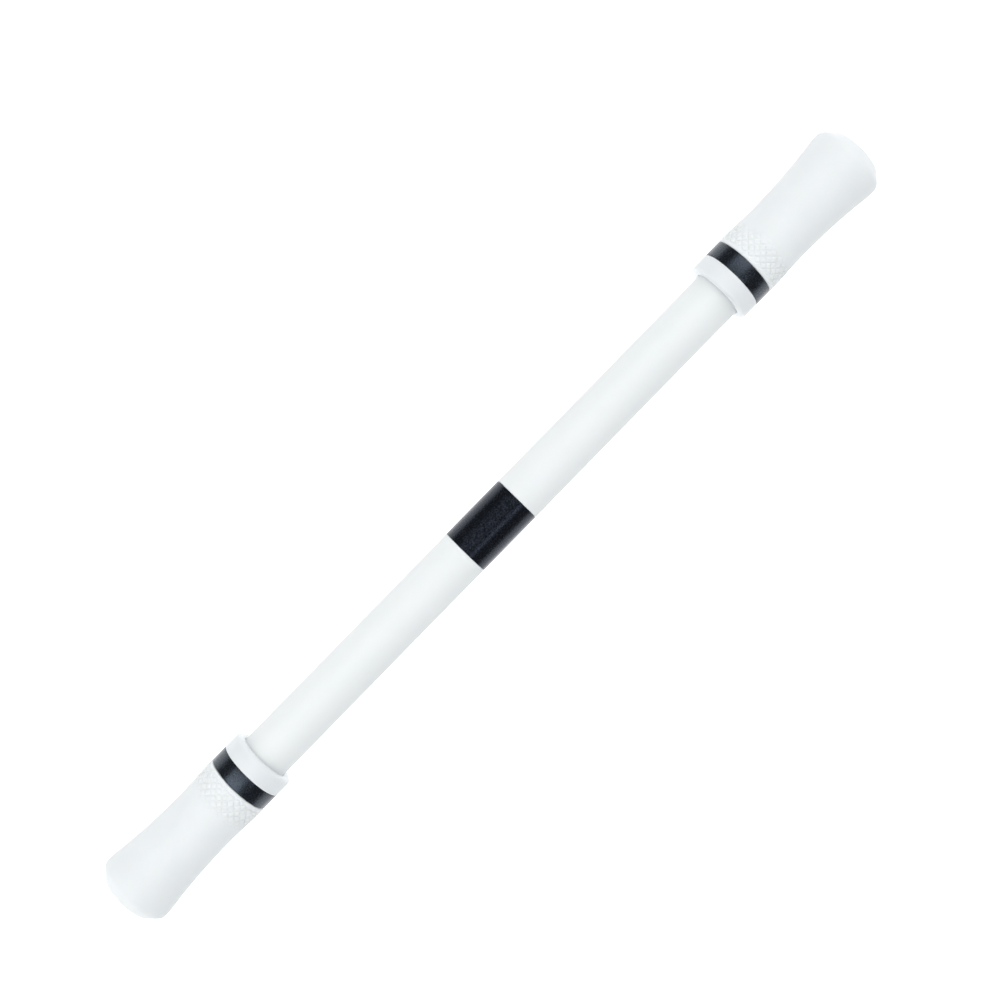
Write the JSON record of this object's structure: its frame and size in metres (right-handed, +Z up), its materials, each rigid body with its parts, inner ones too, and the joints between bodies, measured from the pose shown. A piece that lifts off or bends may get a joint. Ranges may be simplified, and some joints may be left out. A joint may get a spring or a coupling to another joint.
{
  "type": "pen spinning pen",
  "caption": "Double-ended juggling pen for finger spinning: a slim barrel with a centre band, flared soft weighted pull-off caps, and a ballpoint under one cap.",
  "frame": {"origin": "balance point of the pen: on the long axis, at the middle of the centre band", "axes": "+X along the pen's long axis towards the writing end (the capped ballpoint), +Z up, +Y to the left of +X"},
  "size_m": [0.208, 0.016, 0.016],
  "materials": {
    "barrel_white": "satin",
    "cap_white": "satin",
    "grip_silicone": "satin",
    "trim_black": "satin",
    "refill_clear": "gloss",
    "ink_blue": "gloss",
    "tip_nickel_silver": "polished",
    "rubber_grey": "matte",
    "steel": "satin"
  },
  "bodies": {
    "barrel": {"barrel_tube": "barrel_white", "centre_band": "trim_black", "tail_plug": "barrel_white"},
    "section": {"writing_section": "barrel_white"},
    "refill": {"refill_tube": "refill_clear", "ink_column": "ink_blue", "refill_tip": "tip_nickel_silver", "refill_spacer": "rubber_grey"},
    "ball": {"writing_ball": "steel"},
    "front_cap": {"front_cap_core": "cap_white", "front_cap_ring": "trim_black", "front_cap_grip": "grip_silicone", "front_cap_weight": "steel"},
    "tail_cap": {"tail_cap_core": "cap_white", "tail_cap_ring": "trim_black", "tail_cap_grip": "grip_silicone", "tail_cap_weight": "steel"}
  },
  "joints": [
    {"name": "section_pull", "type": "slide", "parent": "barrel", "child": "section", "axis": [1, 0, 0], "range_m": [0, 0.09]},
    {"name": "refill_pull", "type": "slide", "parent": "section", "child": "refill", "axis": [-1, 0, 0], "range_m": [0, 0.024]},
    {"name": "ball_roll", "type": "hinge", "parent": "refill", "child": "ball", "pos_m": [0.0878, 0, 0], "axis": [0, 1, 0], "continuous": true},
    {"name": "front_cap_pull", "type": "slide", "parent": "section", "child": "front_cap", "axis": [1, 0, 0], "range_m": [0, 0.03]},
    {"name": "tail_cap_pull", "type": "slide", "parent": "barrel", "child": "tail_cap", "axis": [-1, 0, 0], "range_m": [0, 0.02]}
  ]
}
